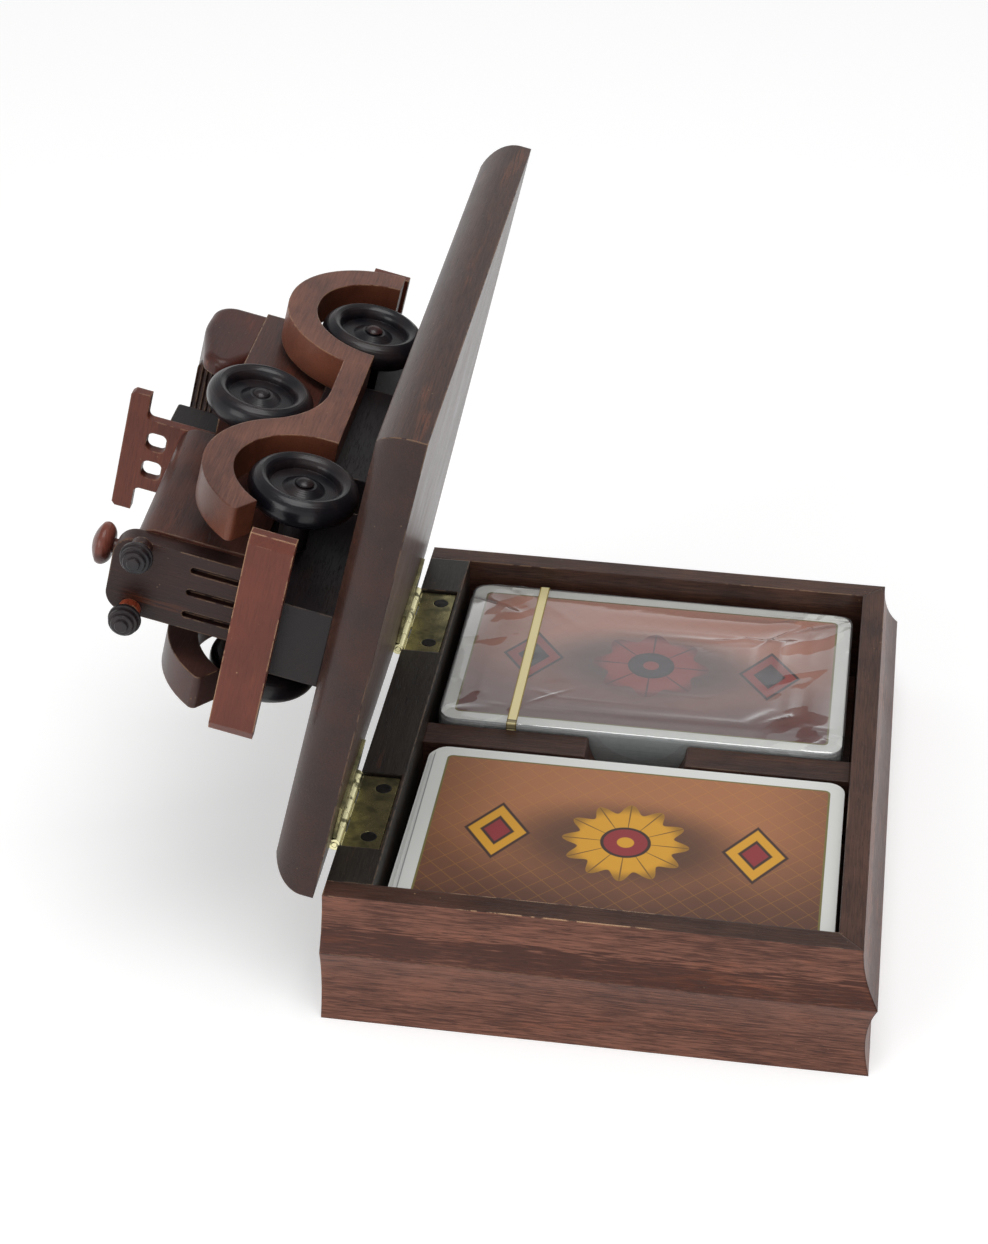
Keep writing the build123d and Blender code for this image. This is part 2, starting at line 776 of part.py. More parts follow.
def folded_top():
    """Soft roll behind the seat, with an arm forward on each side of the back rest."""
    front_face = roll_front()
    back_face = front_face + roll_length
    corners = [
        (front_face - roll_arm_foot, body_top),
        (front_face - roll_arm, body_top + roll_arm_middle),
        (front_face - roll_shoulder, body_top + roll_shoulder_height),
        (front_face + roll_peak, body_top + roll_height),
        (back_face, body_top + roll_height - roll_back_drop),
        (back_face, body_top),
    ]
    outline = make_face(Polyline(*corners, close=True))
    for corner, radius in zip(corners[1:5], roll_rounds):
        nearest = outline.vertices().sort_by_distance((*corner, 0))[0]
        outline = fillet(nearest, radius)
    half = body_width / 2 - seat_clearance
    shape = extrude(Plane.YZ * outline, half, both=True)
    sides = shape.faces().filter_by(Axis.X).edges()
    rims = [edge for edge in sides if edge.center().Z > body_top + 0.1]
    shape = fillet(rims, roll_edge_round)
    room = seat_back_width / 2 + seat_clearance
    top = body_top + 2 * roll_height
    return shape - block((-room, room), (front_face - 2 * roll_arm, front_face), (body_top, top))


def arch(x, y, radius, stretch):
    """Disc drawn out towards the back by a straight stretch."""
    shape = Pos(x, y) * Circle(radius) + Pos(x + stretch, y) * Circle(radius)
    return shape + Pos(x + stretch / 2, y) * Rectangle(stretch, 2 * radius)


def fender_outline():
    """Arches and running board seen from the side: x is the station, y the height."""
    far = car_length
    front_centre = Pos(front_arch_station, front_arch_height)
    shape = front_centre * Circle(front_arch_outer)
    shape += arch(back_arch_station, back_arch_height, back_arch_outer, back_arch_stretch)
    span = back_arch_station - front_arch_station
    height = running_board_top - running_board_bottom
    shape += Pos(front_arch_station + span / 2, running_board_bottom + height / 2) * Rectangle(span, height)
    valley = [
        v
        for v in shape.vertices()
        if abs(v.Y - running_board_top) < 0.01 and front_arch_station < v.X < back_arch_station
    ]
    for vertex in valley:
        shape = fillet(vertex, fender_dip_round)
    shape -= Pos(0, running_board_bottom - far / 2) * Rectangle(4 * far, far)
    shape -= front_centre * Circle(front_arch_inner)
    shape -= arch(back_arch_station, back_arch_height, back_arch_inner, back_arch_stretch)
    shape -= front_centre * Rot(0, 0, front_tip_angle) * Pos(far / 2, far / 2) * Rectangle(far, far)
    outline = shape.faces().sort_by(SortBy.AREA)[-1]
    tip = outline.vertices().sort_by(Axis.X)[0]
    return fillet(tip, front_tip_round)


def fender(side):
    """Fretted board glued to one side of the chassis: left is 1, right is -1."""
    inner = chassis_width / 2
    board = extrude(Plane.YZ * fender_outline(), fender_thickness, dir=(1, 0, 0))
    board = Pos(inner, -car_length / 2, 0) * board
    if side < 0:
        board = mirror(board, Plane.YZ)
    return board


# --- wheels ---


def axles():
    """y and z of the front and back axles in the car's frame."""
    return [
        (station(front_axle_station), front_axle_height),
        (station(front_axle_station + wheelbase), back_axle_height),
    ]


def turned_wheel(bore):
    """Wheel turned in one piece. Its axis is x and its outer face is at x 0."""
    shoulder = wheel_radius - tyre_round
    back = -wheel_thickness - boss_height
    inside = (-wheel_thickness, shoulder)
    crest = (-tyre_crest[0], tyre_crest[1])
    outline = (
        Polyline((back, bore), (back, boss_radius), (-wheel_thickness, boss_radius), inside)
        + ThreePointArc(inside, (-wheel_thickness / 2, wheel_radius), (0, shoulder))
        + ThreePointArc((0, shoulder), crest, (-dish_depth, dish_radius))
        + Polyline(
            (-dish_depth, dish_radius),
            (-dish_depth, hub_radius + hub_slope),
            (-hub_depth, hub_radius),
            (-hub_depth, bore),
            (back, bore),
        )
    )
    return revolve(make_face(outline), Axis.X)


def axle_peg():
    """Peg with a domed button head. Its axis is x and the wheel's outer face is at x 0."""
    under = -hub_depth + peg_play
    end = -wheel_thickness - boss_height - spacer_play - spacer_length - peg_depth
    shape = (
        Polyline((end, 0), (end, peg_radius), (under, peg_radius), (under, peg_head_radius))
        + dome(under, peg_head_radius, peg_head_height)
        + Polyline((under + peg_head_height, 0), (end, 0))
    )
    return revolve(make_face(shape), Axis.X)


def wheel_places():
    """Outer face of each road wheel."""
    x = chassis_width / 2 + wheel_side_gap + wheel_thickness
    places = {}
    for end, (y, z) in zip(("front", "rear"), axles()):
        places[f"{end}_left"] = Pos(x, y, z)
        places[f"{end}_right"] = Pos(-x, y, z) * Rot(0, 0, 180)
    return places


def axle_spacers():
    """Sleeves on the pegs that keep the wheels clear of the narrow ends of the chassis."""
    start = -wheel_thickness - boss_height - spacer_play
    sleeve = rod(spacer_radius, (start - spacer_length, 0, 0), (start, 0, 0))
    sleeve -= rod(peg_radius + peg_clearance, (start - spacer_length, 0, 0), (start, 0, 0))
    return Compound(children=[place * sleeve for place in wheel_places().values()])


def spare_place():
    """Outer face of the spare wheel, with its boss against the tub's left side."""
    return Pos(body_width / 2 + boss_height + wheel_thickness, station(spare_station), spare_height)


def spare_peg():
    """The spare's peg is shorter, and its head is hard on the hub."""
    size = 2 * wheel_radius
    end = -wheel_thickness - boss_height - peg_depth + glue_gap
    return Pos(-peg_play, 0, 0) * axle_peg() & block((end, size), (-size, size), (-size, size))


# --- every piece by name ---


def case_pieces():
    base = rebate()
    return {
        "front_rail": long_rail(-1),
        "back_rail": long_rail(1),
        "opening_rail": opening_rail(),
        "hinge_rail": hinge_rail(),
        "base_panel": base,
        "well_divider": well_divider(),
        "open_deck": open_deck(),
        "wrapped_deck": wrapped_deck(),
        "cellophane_wrap": cellophane_wrap(),
        "tear_strip": tear_strip(),
    }


def hinge_pieces():
    pieces = {}
    for name, y in hinge_places.items():
        pieces[f"{name}_hinge_case_leaf"] = case_leaf(y)
        pieces[f"{name}_hinge_lid_leaf"] = lid_leaf(y)
        pieces[f"{name}_hinge_pin"] = hinge_pin(y)
    pieces["case_leaf_screws"] = leaf_screws(Pos(axis_x, 0, axis_z), False)
    pieces["lid_leaf_screws"] = leaf_screws(lid_frame * Pos(0, 0, -leaf_offset), True)
    return pieces


def car_pieces():
    """Everything on the lid's outer face, in the car's frame."""
    front_bar = bumper(bumper_length, bumper_height)
    rear_bar = Rot(0, 0, 180) * bumper(rear_bumper_length, rear_bumper_height)
    pieces = {
        "chassis": chassis(),
        "front_bumper": Pos(0, station(bumper_thickness), bumper_bottom) * front_bar,
        "rear_bumper": Pos(0, station(car_length - bumper_thickness), rear_bumper_bottom) * rear_bar,
        "radiator": radiator(),
        "engine_hood": engine_hood(),
        "radiator_cap": radiator_cap(),
        "car_body": car_body(),
        "windscreen": windscreen(),
        "dashboard": dashboard(),
        "seat": seat(),
        "folded_top": folded_top(),
        "left_fender": fender(1),
        "right_fender": fender(-1),
        "spare_wheel": spare_place() * turned_wheel(peg_radius + glue_gap),
        "spare_wheel_peg": spare_place() * spare_peg(),
        "axle_spacers": axle_spacers(),
        "lid_dowels": Compound(children=lid_dowels(0)),
    }
    for name, place in lamp_places().items():
        pieces[f"{name}_headlamp"] = place * headlamp()
        pieces[f"{name}_headlamp_stem"] = place * lamp_stem()
    for name, place in wheel_places().items():
        pieces[f"{name}_wheel"] = place * turned_wheel(peg_radius + peg_clearance)
        pieces[f"{name}_axle_peg"] = place * axle_peg()
    return pieces


os.makedirs("parts", exist_ok=True)
nodes = {**case_pieces(), **hinge_pieces(), "lid_panel": lid_panel()}
for node_name, piece in car_pieces().items():
    nodes[node_name] = car_frame * piece
for node_name, piece in nodes.items():
    export_step(piece, f"parts/{node_name}.step")
print(len(nodes), "nodes")
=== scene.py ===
import json
import math

import bpy
import numpy as np
from mathutils import Matrix, Vector


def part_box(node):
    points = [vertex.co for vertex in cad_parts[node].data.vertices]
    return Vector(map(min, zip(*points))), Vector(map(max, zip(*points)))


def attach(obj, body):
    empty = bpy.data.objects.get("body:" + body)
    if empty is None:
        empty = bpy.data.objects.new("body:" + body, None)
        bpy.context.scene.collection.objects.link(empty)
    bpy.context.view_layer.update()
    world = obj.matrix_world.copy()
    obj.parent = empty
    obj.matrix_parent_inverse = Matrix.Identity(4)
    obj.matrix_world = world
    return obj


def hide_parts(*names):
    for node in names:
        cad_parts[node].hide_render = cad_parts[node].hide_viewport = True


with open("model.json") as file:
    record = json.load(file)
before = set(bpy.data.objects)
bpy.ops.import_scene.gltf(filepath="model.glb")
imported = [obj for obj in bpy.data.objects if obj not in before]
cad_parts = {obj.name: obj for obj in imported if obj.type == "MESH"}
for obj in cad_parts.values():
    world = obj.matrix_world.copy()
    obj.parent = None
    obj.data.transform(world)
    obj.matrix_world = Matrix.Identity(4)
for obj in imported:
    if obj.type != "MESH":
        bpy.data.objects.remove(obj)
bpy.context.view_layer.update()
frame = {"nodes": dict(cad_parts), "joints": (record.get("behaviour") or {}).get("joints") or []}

# --- the studio: camera ---
# A long lens, a little to the right of the box's front and looking down on it. Its place, turn and
# focal length were fitted to the corners of the box in the photograph.

camera_place = Vector((0.04062, -0.51211, 0.37772))
camera_azimuth, camera_elevation, camera_roll = (math.radians(angle) for angle in (7.81, 32.15, 1.01))
focal_pixels = 2848.55
photo_height = 1244
sensor = 36.0


def placed(name, data):
    """A new object in the scene, at the origin, that holds the data."""
    made = bpy.data.objects.new(name, data)
    bpy.context.scene.collection.objects.link(made)
    return made


lens = bpy.data.cameras.new("camera")
lens.sensor_width = sensor
lens.lens = sensor * focal_pixels / photo_height
camera = placed("camera", lens)
camera.matrix_world = (
    Matrix.Translation(camera_place)
    @ Matrix.Rotation(camera_azimuth, 4, "Z")
    @ Matrix.Rotation(math.pi / 2 - camera_elevation, 4, "X")
    @ Matrix.Rotation(camera_roll, 4, "Z")
)
bpy.context.scene.camera = camera

# --- the studio: lamps and paper ---
# One broad soft lamp overhead, a weaker one from the front left, and a pale room whose walls are
# brighter near the floor. The object stands on white paper that keeps its shadow.

paper_size = 6.0
paper_colour = (0.80, 0.80, 0.80)
paper_glow = 0.36
wall_light, ceiling_light = 0.85, 0.34
wall_top, ceiling_start = 0.10, 0.75  # sines of the elevations where the walls end and the ceiling starts


def feed(socket, value):
    """Sets a socket to a number or a colour, or links it to another socket or to a Field."""
    value = getattr(value, "socket", value)
    if isinstance(value, bpy.types.NodeSocket):
        socket.id_data.links.new(value, socket)
    elif socket.type == "RGBA":
        socket.default_value = (*value, 1.0)
    else:
        socket.default_value = value


def node(tree, kind, sockets=None, **options):
    """A new shader node with its options set and its sockets fed."""
    made = tree.nodes.new("ShaderNode" + kind)
    for name, value in options.items():
        setattr(made, name, value)
    for name, value in (sockets or {}).items():
        feed(made.inputs[name], value)
    return made


class Field:
    """A number that varies over a surface: a node's socket that adds and multiplies as a number does."""

    def __init__(self, socket):
        self.socket = socket

    def math(self, operation, *others):
        made = node(self.socket.id_data, "Math", operation=operation)
        for socket, value in zip(made.inputs, (self, *others)):
            feed(socket, value)
        return Field(made.outputs[0])

    def __add__(self, other):
        return self.math("ADD", other)

    def __sub__(self, other):
        return self.math("SUBTRACT", other)

    def __mul__(self, other):
        return self.math("MULTIPLY", other)

    def __truediv__(self, other):
        return self.math("DIVIDE", other)

    def rising(self, low, high):
        """0 up to low, 1 from high, and a smooth step between them."""
        made = node(self.socket.id_data, "MapRange", interpolation_type="SMOOTHSTEP")
        for name, value in (("Value", self), ("From Min", low), ("From Max", high)):
            feed(made.inputs[name], value)
        return Field(made.outputs["Result"])

    def falling(self, low, high):
        """1 up to low, 0 from high, and a smooth step between them."""
        return self.rising(high, low)


def blended(share, first, second):
    """A colour that goes from first to second as share goes from 0 to 1."""
    tree = share.socket.id_data
    return node(tree, "Mix", {0: share, 6: first, 7: second}, data_type="RGBA").outputs[2]


def new_material(name):
    """An empty material and its node tree."""
    material = bpy.data.materials.new(name)
    material.use_nodes = True
    material.node_tree.nodes.clear()
    return material, material.node_tree


def show(tree, shader):
    """Makes a shader node the surface of its material."""
    tree.links.new(shader.outputs[0], node(tree, "OutputMaterial").inputs["Surface"])


def xyz(vector):
    """The three parts of a vector socket, each as a Field."""
    return [Field(part) for part in node(vector.id_data, "SeparateXYZ", {0: vector}).outputs]


def soft_lamp(name, place, target, size, power):
    """A square lamp of that size at place, turned to target."""
    data = bpy.data.lights.new(name, "AREA")
    data.size = size
    data.energy = power
    turn = (target - place).to_track_quat("-Z", "Y").to_matrix().to_4x4()
    placed(name, data).matrix_world = Matrix.Translation(place) @ turn


object_middle = Vector((-0.02, 0.0, 0.05))
soft_lamp("overhead_lamp", Vector((0.16, -0.32, 1.50)), object_middle, size=0.95, power=11.0)
soft_lamp("front_lamp", Vector((-0.55, -0.80, 0.45)), object_middle, size=0.50, power=2.2)

room = bpy.data.worlds.new("room")
room.use_nodes = True
room.node_tree.nodes.clear()
upwards = xyz(node(room.node_tree, "TexCoord").outputs["Generated"])[2]
light = blended(upwards.rising(wall_top, ceiling_start), (wall_light,) * 3, (ceiling_light,) * 3)
background = node(room.node_tree, "Background", {"Color": light})
room.node_tree.links.new(background.outputs[0], node(room.node_tree, "OutputWorld").inputs["Surface"])
bpy.context.scene.world = room
bpy.context.scene.view_settings.view_transform = "Standard"

paper_material, tree = new_material("white_paper")
rays = node(tree, "LightPath")
seen = Field(rays.outputs["Is Camera Ray"])
for ray in ("Is Glossy Ray", "Is Transmission Ray"):
    seen = seen.math("MAXIMUM", rays.outputs[ray])
glow = node(tree, "Emission", {"Color": (1.0, 1.0, 1.0), "Strength": seen * paper_glow})
matt = node(tree, "BsdfDiffuse", {"Color": paper_colour})
show(tree, node(tree, "AddShader", {0: matt.outputs[0], 1: glow.outputs[0]}))

edge = paper_size / 2
corners = [(-edge, -edge, 0), (edge, -edge, 0), (edge, edge, 0), (-edge, edge, 0)]
sheet = bpy.data.meshes.new("paper")
sheet.from_pydata(corners, [], [(0, 1, 2, 3)])
sheet.materials.append(paper_material)
paper = placed("paper", sheet)

# --- the case: four sides, a bottom and a divider ---
# Moulded boards of a stained red-brown hardwood under thin lacquer, mitred and glued at the corners.
# The fibres run along each board, and the arrises are rubbed through to pale wood in places.

across, along = Vector((1, 0, 0)), Vector((0, 1, 0))
rail_pale, rail_deep = (0.245, 0.096, 0.060), (0.060, 0.017, 0.009)
inner_pale, inner_deep = (0.082, 0.038, 0.026), (0.030, 0.013, 0.009)
hinge_rail_pale, hinge_rail_deep = (0.034, 0.027, 0.021), (0.016, 0.012, 0.010)
bare_wood = (0.60, 0.36, 0.20)
ember = (0.230, 0.060, 0.022)  # the stain where it is thin

# The length and width of the marks that the fibres leave, in metres.
band_mark, streak_mark, line_mark = (0.045, 0.0030), (0.0065, 0.00036), (0.0042, 0.00018)
pore_mark, thin_mark = (0.0030, 0.00022), (0.020, 0.0042)
specks_to_metre = 480.0
grain_depth = 0.00010
arris_radius = 0.0005

# Heights on a rail: the belt where the stain gathered, how it fades and wavers, and the worn top edge.
ridge_height, stain_top = 0.0170, 0.0226
ridge_line, stain_fade, belt_waver = 0.0002, 0.0016, 0.006
worn_from, worn_full = 0.0262, 0.0270


def noise(vector, scale, detail):
    """Soft random patches, scale of them to a unit of length, from 0 to 1 and mostly near a half."""
    sockets = {"Vector": vector, "Scale": scale, "Detail": detail}
    return Field(node(vector.id_data, "TexNoise", sockets).outputs[0])


def measured(vector, size, turn=(0, 0, 0), origin=(0, 0, 0)):
    """A vector socket counted from origin, along axes turned by turn, in steps of size along each."""
    sockets = {"Vector": vector, "Location": origin, "Rotation": turn, "Scale": size}
    return node(vector.id_data, "Mapping", sockets, vector_type="TEXTURE").outputs[0]


def dot(first, second):
    """The dot product of a vector socket with another vector."""
    made = node(first.id_data, "VectorMath", {0: first, 1: second}, operation="DOT_PRODUCT")
    return Field(made.outputs["Value"])


def darker(colour, share):
    """The colour with that share of its light."""
    return tuple(part * share for part in colour)


def timber(
    name, grain, pale, deep, seed,
    wear=0.5, gloss=0.10, figure=1.0, glow=0.3, ridge=False, second=None,
):
    """Stained wood whose fibres run along grain.

    Noise stretched along the fibres gives the streaks, a finer one the open pores, and an even one the
    clouds in the stain, which turns orange where it is thin. Above a rail's ridge the stain gathered
    and is darker. Near an arris the normal of a small bevel leaves the flat one, and where a patchy
    noise allows it, the colour there goes to bare wood, as it does in scattered nicks. The faces whose
    normal's share along a direction goes from low to high take a second colour: second holds the
    direction, low, high and the colour.
    """
    material, tree = new_material(name)
    coordinates = node(tree, "TexCoord")
    place = coordinates.outputs["Object"]
    turn = across.rotation_difference(grain).to_euler()
    shift = (0.37 * seed, 0.23 * seed, 0.11 * seed)

    def fibres(mark, detail):
        """Noise drawn out along the grain, whose marks have that length and width."""
        length, width = mark
        return noise(measured(place, (length, width, width), turn, shift), 1.0, detail)

    def clouds(scale, detail):
        """Even noise, moved so that no two boards have the same."""
        moved = node(tree, "Mapping", {"Vector": place, "Location": shift}).outputs[0]
        return noise(moved, scale, detail)

    bands = fibres(band_mark, 3.0)
    streaks = fibres(streak_mark, 6.0)
    lines = fibres(line_mark, 3.0)
    pores = fibres(pore_mark, 2.0).rising(0.57, 0.66)
    cloud = clouds(75.0, 5.0)
    tone = (bands - 0.5) * (0.7 * figure) + (streaks - 0.5) * (1.5 * figure) + (lines - 0.5) * (0.9 * figure)
    tone = tone + (cloud - 0.5) * (1.7 - figure) + 0.5
    if ridge:
        level = xyz(place)[2] + (streaks - 0.5) * belt_waver
        belt = level.rising(ridge_height - ridge_line, ridge_height)
        belt = belt * level.falling(stain_top - stain_fade, stain_top)
        tone = tone - belt * 0.42
        wear = level.rising(worn_from, worn_full) * (0.75 * wear) + 0.25 * wear
    colour = blended(tone.rising(0.0, 1.0), deep, pale)
    thin = fibres(thin_mark, 5.0).rising(0.54, 0.72) * streaks.rising(0.36, 0.60)
    colour = blended(thin * glow, colour, ember)
    if second:
        direction, low, high, tint = second
        facing = dot(coordinates.outputs["Normal"], direction).rising(low, high)
        stained = blended((cloud - 0.5) * 1.6 + tone * 0.8, darker(tint, 0.4), tint)
        colour = blended(facing * 0.85, colour, stained)
    colour = blended(pores * (0.5 * figure), colour, darker(deep, 0.35))

    eased = node(tree, "Bevel", {"Radius": arris_radius}, samples=6).outputs[0]
    agreement = dot(eased, node(tree, "NewGeometry").outputs["Normal"])
    towards_hinges = xyz(place)[0] * -1.6
    patchy = (clouds(26.0, 2.0) + towards_hinges).rising(0.46, 0.52) * clouds(420.0, 3.0).rising(0.40, 0.50)
    rubbed = agreement.falling(0.90, 0.985) * patchy * wear
    colour = blended(rubbed, colour, bare_wood)
    dust = node(tree, "TexVoronoi", {"Vector": place, "Scale": specks_to_metre})
    speck = Field(dust.outputs["Distance"]).falling(0.04, 0.11) * clouds(60.0, 4.0).rising(0.54, 0.62)
    colour = blended(speck * wear * 0.6, colour, bare_wood)

    relief = streaks * 0.5 - pores
    bump = node(tree, "Bump", {"Height": relief, "Normal": eased, "Strength": 0.35, "Distance": grain_depth})
    show(tree, node(tree, "BsdfPrincipled", {
        "Base Color": colour,
        "Roughness": cloud * 0.20 + 0.30,
        "Specular IOR Level": 0.32,
        "Normal": bump.outputs[0],
        "Coat Weight": gloss,
        "Coat Roughness": 0.16,
        "Coat Normal": eased,
    }))
    return material


def coat(material, *names):
    """Gives a CAD node its finished material."""
    for name in names:
        slots = frame["nodes"][name].data.materials
        slots.clear()
        slots.append(material)


moulded_rails = (
    ("front_rail", across, along, 1.0),
    ("back_rail", across, -along, 0.4),
    ("opening_rail", along, -across, 0.4),
)
for seed, (rail, grain, inwards, wear) in enumerate(moulded_rails, start=1):
    inside = (inwards, -0.30, -0.05, inner_pale)
    coat(timber(rail + "_wood", grain, rail_pale, rail_deep, seed, wear, ridge=True, second=inside), rail)
coat(timber("hinge_rail_wood", along, hinge_rail_pale, hinge_rail_deep, seed=4, wear=0.25), "hinge_rail")
coat(timber("divider_wood", across, inner_pale, inner_deep, seed=5, wear=0.15), "well_divider")
coat(timber("base_wood", across, inner_pale, inner_deep, seed=6), "base_panel")

# --- the hinges ---
# Two stamped brass butts, tarnished to a greenish gold. The knuckles are bright, partly rubbed brass and
# partly a painted highlight for their glints. Each leaf is held by two dark countersunk screws.

hinge = next(joint for joint in frame["joints"] if joint["name"] == "lid_hinge")
pin_x, pin_z = hinge["pos_m"][0], hinge["pos_m"][2]
knuckle_radius = 0.00135
brass_bright, brass_tarnished = (0.46, 0.41, 0.20), (0.15, 0.14, 0.075)
knuckle_rub_and_glint = (0.90, 0.84, 0.50)
steel = (0.055, 0.052, 0.050)
scratch_size = (0.0003, 0.004, 0.0003)  # metres: they run along the knuckles
leaf_arris, wear_depth = 0.00025, 0.00008


def worn_metal(name, bright, tarnished, patches, smooth, rough, rubbed=None):
    """Metal that goes from bright to tarnished in patches, and is rougher where it is tarnished. Close
    round the hinge pins it is smoother, and in patches takes the rubbed colour, partly rubbed metal and
    partly a painted highlight."""
    material, tree = new_material(name)
    place = node(tree, "TexCoord").outputs["Object"]
    patch = noise(place, patches, 6.0)
    tarnish = patch.rising(0.30, 0.70)
    scratch = noise(measured(place, scratch_size), 1.0, 2.0)
    eased = node(tree, "Bevel", {"Radius": leaf_arris}, samples=6).outputs[0]
    relief = scratch * 0.4 + patch
    bump = node(tree, "Bump", {"Height": relief, "Normal": eased, "Strength": 0.35, "Distance": wear_depth})
    colour = blended(tarnish, bright, tarnished)
    if rubbed:
        x, _, z = xyz(place)
        out, rise = x - pin_x, z - pin_z
        round_pin = (out * out + rise * rise).math("SQRT").falling(knuckle_radius, 1.15 * knuckle_radius)
        # the bright colour round the pins is partly rubbed brass, partly a painted highlight for the
        # knuckles' glints
        colour = blended(round_pin * patch.falling(0.55, 0.62), colour, rubbed)
        tarnish = tarnish * (round_pin * -0.8 + 1.0)
    show(tree, node(tree, "BsdfPrincipled", {
        "Base Color": colour,
        "Metallic": 1.0,
        "Roughness": tarnish * (rough - smooth) + smooth,
        "Normal": bump.outputs[0],
    }))
    return material


brass = worn_metal(
    "tarnished_brass", brass_bright, brass_tarnished,
    patches=300.0, smooth=0.22, rough=0.40, rubbed=knuckle_rub_and_glint)
for side in ("front", "back"):
    coat(brass, f"{side}_hinge_case_leaf", f"{side}_hinge_lid_leaf", f"{side}_hinge_pin")
dark_steel = worn_metal("dark_steel", steel, darker(steel, 0.4), patches=500.0, smooth=0.30, rough=0.50)
coat(dark_steel, "case_leaf_screws", "lid_leaf_screws")

# --- the open deck ---
# Fifty-four pasteboard cards with round corners and a white rim. The top one slid towards the opening
# side, and those under it fan out towards the hinges in packets. The backs carry a plain medallion.

cards_in_deck = 54
card_length, card_width, card_corner = 0.0889, 0.05715, 0.0035
card_pitch, card_thickness = 0.000328, 0.000306
card_paper, paper_edge, gold_line = (0.80, 0.81, 0.78), (0.52, 0.55, 0.56), (0.21, 0.18, 0.06)

paper_relief = 0.00003  # depth of the fibres and of the linen finish

# The print's sizes, in millimetres.
millimetre = 0.001
rim_width, rim_line = 3.0, 0.45
rim_corner, panel_corner = 1.3, 1.0
lattice_pitch = 5.2
medallion_radius, petal_swing = 11.6, 1.5
lozenge_place, lozenge_half_length, lozenge_half_width = 27.0, 7.0, 10.0


def card_outline(corner_points=7):
    """The outline of a card round the origin: a quarter circle at each corner, in order."""
    quarter = np.linspace(0, math.pi / 2, corner_points)
    angles = np.concatenate([quarter + turn * math.pi / 2 for turn in range(4)])
    side_x = np.repeat([1, -1, -1, 1], corner_points) * (card_length / 2 - card_corner)
    side_y = np.repeat([1, 1, -1, -1], corner_points) * (card_width / 2 - card_corner)
    return np.stack([side_x + card_corner * np.cos(angles), side_y + card_corner * np.sin(angles)], axis=1)


def stack_of_cards(name, centres, turns, bottom, materials):
    """A deck as one mesh: the outline turned and moved to each card's place, once for its lower face
    and once a card's thickness higher. Its materials are the paper and the top card's print."""
    outline = card_outline()
    count, points = len(centres), len(outline)
    cosine, sine = np.cos(turns)[:, None], np.sin(turns)[:, None]
    x = centres[:, :1] + cosine * outline[:, 0] - sine * outline[:, 1]
    y = centres[:, 1:] + sine * outline[:, 0] + cosine * outline[:, 1]
    z = bottom + card_pitch * np.arange(count)[:, None] + 0 * x
    vertices = np.concatenate([np.stack([x, y, z], 2), np.stack([x, y, z + card_thickness], 2)], axis=1)
    ring = np.arange(points)
    after = (ring + 1) % points
    start = 2 * points * np.arange(count)[:, None]
    walls = start[:, :, None] + np.stack([ring, after, after + points, ring + points], 1)
    lower, upper = start + ring[::-1], start + ring + points
    faces = walls.reshape(-1, 4).tolist() + lower.tolist() + upper.tolist()
    mesh = bpy.data.meshes.new(name)
    mesh.from_pydata(vertices.reshape(-1, 3).tolist(), [], faces)
    for material in materials:
        mesh.materials.append(material)
    mesh.polygons[-1].material_index = 1
    return placed(name, mesh)


def paper_stock(name):
    """White card, greyer and lined on its cut edges, which are the faces that don't look up or down."""
    material, tree = new_material(name)
    place = node(tree, "TexCoord").outputs["Object"]
    fibre = noise(place, 900.0, 5.0)
    cut = xyz(node(tree, "NewGeometry").outputs["Normal"])[2].math("ABSOLUTE").falling(0.2, 0.6)
    colour = blended(cut * (fibre * 0.6 + 0.4), card_paper, paper_edge)
    bump = node(tree, "Bump", {"Height": fibre, "Strength": 0.2, "Distance": paper_relief})
    sockets = {"Base Color": colour, "Roughness": cut * 0.25 + 0.42, "Normal": bump.outputs[0]}
    show(tree, node(tree, "BsdfPrincipled", sockets))
    return material


